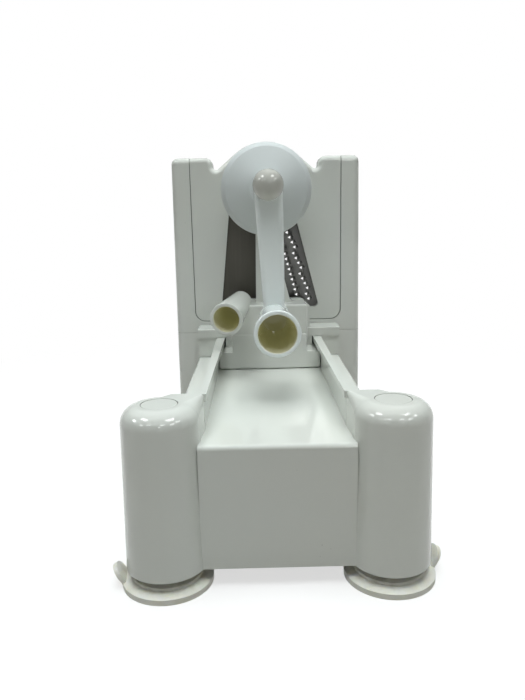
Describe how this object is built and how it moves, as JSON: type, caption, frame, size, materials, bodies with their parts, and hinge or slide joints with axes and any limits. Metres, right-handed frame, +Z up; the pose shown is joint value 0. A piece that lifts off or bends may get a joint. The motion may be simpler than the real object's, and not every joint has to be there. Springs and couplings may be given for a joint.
{
  "type": "table spiralizer with crank",
  "caption": "Hand-cranked table spiralizer on suction-cup feet: a sliding carriage with crank, pronged food holder and push handle faces an upright housing with a lift-out blade cartridge.",
  "frame": {"origin": "centre of the bounding box at the table, z = 0 under the suction cups", "axes": "+Z up, -Y to the front where the two round towers stand, +Y to the back where the blades stand, X across"},
  "size_m": [0.174, 0.276, 0.2421],
  "materials": {
    "white_plastic": "glossy white moulded plastic",
    "cap_plastic": "glossy warm white moulded plastic",
    "cover_plastic": "plain white moulded plastic",
    "cup_rubber": "soft milky plastic, slightly see-through",
    "blade_steel": "stainless sheet",
    "screw_steel": "plated steel",
    "shaft_steel": "turned steel",
    "bush_plastic": "plain bearing plastic"
  },
  "bodies": {
    "base": {"base_body": "white_plastic", "front_bottom_cover": "cover_plastic", "rear_bottom_cover": "cover_plastic", "cover_screws": "screw_steel", "tower_plug_left": "white_plastic", "tower_plug_right": "white_plastic", "suction_cup_front_left": "cup_rubber", "suction_cup_front_right": "cup_rubber", "suction_cup_rear_left": "cup_rubber", "suction_cup_rear_right": "cup_rubber", "cup_washers": "screw_steel", "cup_screws": "screw_steel", "blade_housing": "white_plastic", "housing_screws": "screw_steel"},
    "cartridge": {"cartridge_frame": "white_plastic", "slicing_blade": "blade_steel", "tooth_plate": "blade_steel", "coring_ring": "blade_steel", "blade_screws": "screw_steel"},
    "carriage": {"carriage": "white_plastic", "bearing_shield": "white_plastic", "shield_screws": "screw_steel", "bearing_bush": "bush_plastic"},
    "crank": {"crank_arm": "white_plastic", "crank_shaft": "shaft_steel", "crank_screw": "screw_steel", "hub_cap": "cap_plastic", "crank_washer": "screw_steel", "food_holder": "white_plastic", "holder_screw": "screw_steel"}
  },
  "joints": [
    {"name": "cartridge_lift", "type": "slide", "parent": "base", "child": "cartridge", "axis": [0, 0, 1], "range_m": [0, 0.14]},
    {"name": "carriage_slide", "type": "slide", "parent": "base", "child": "carriage", "axis": [0, -1, 0], "range_m": [0, 0.118]},
    {"name": "crank_turn", "type": "hinge", "parent": "carriage", "child": "crank", "pos_m": [0, 0, 0.2065], "axis": [0, 1, 0], "continuous": true}
  ]
}
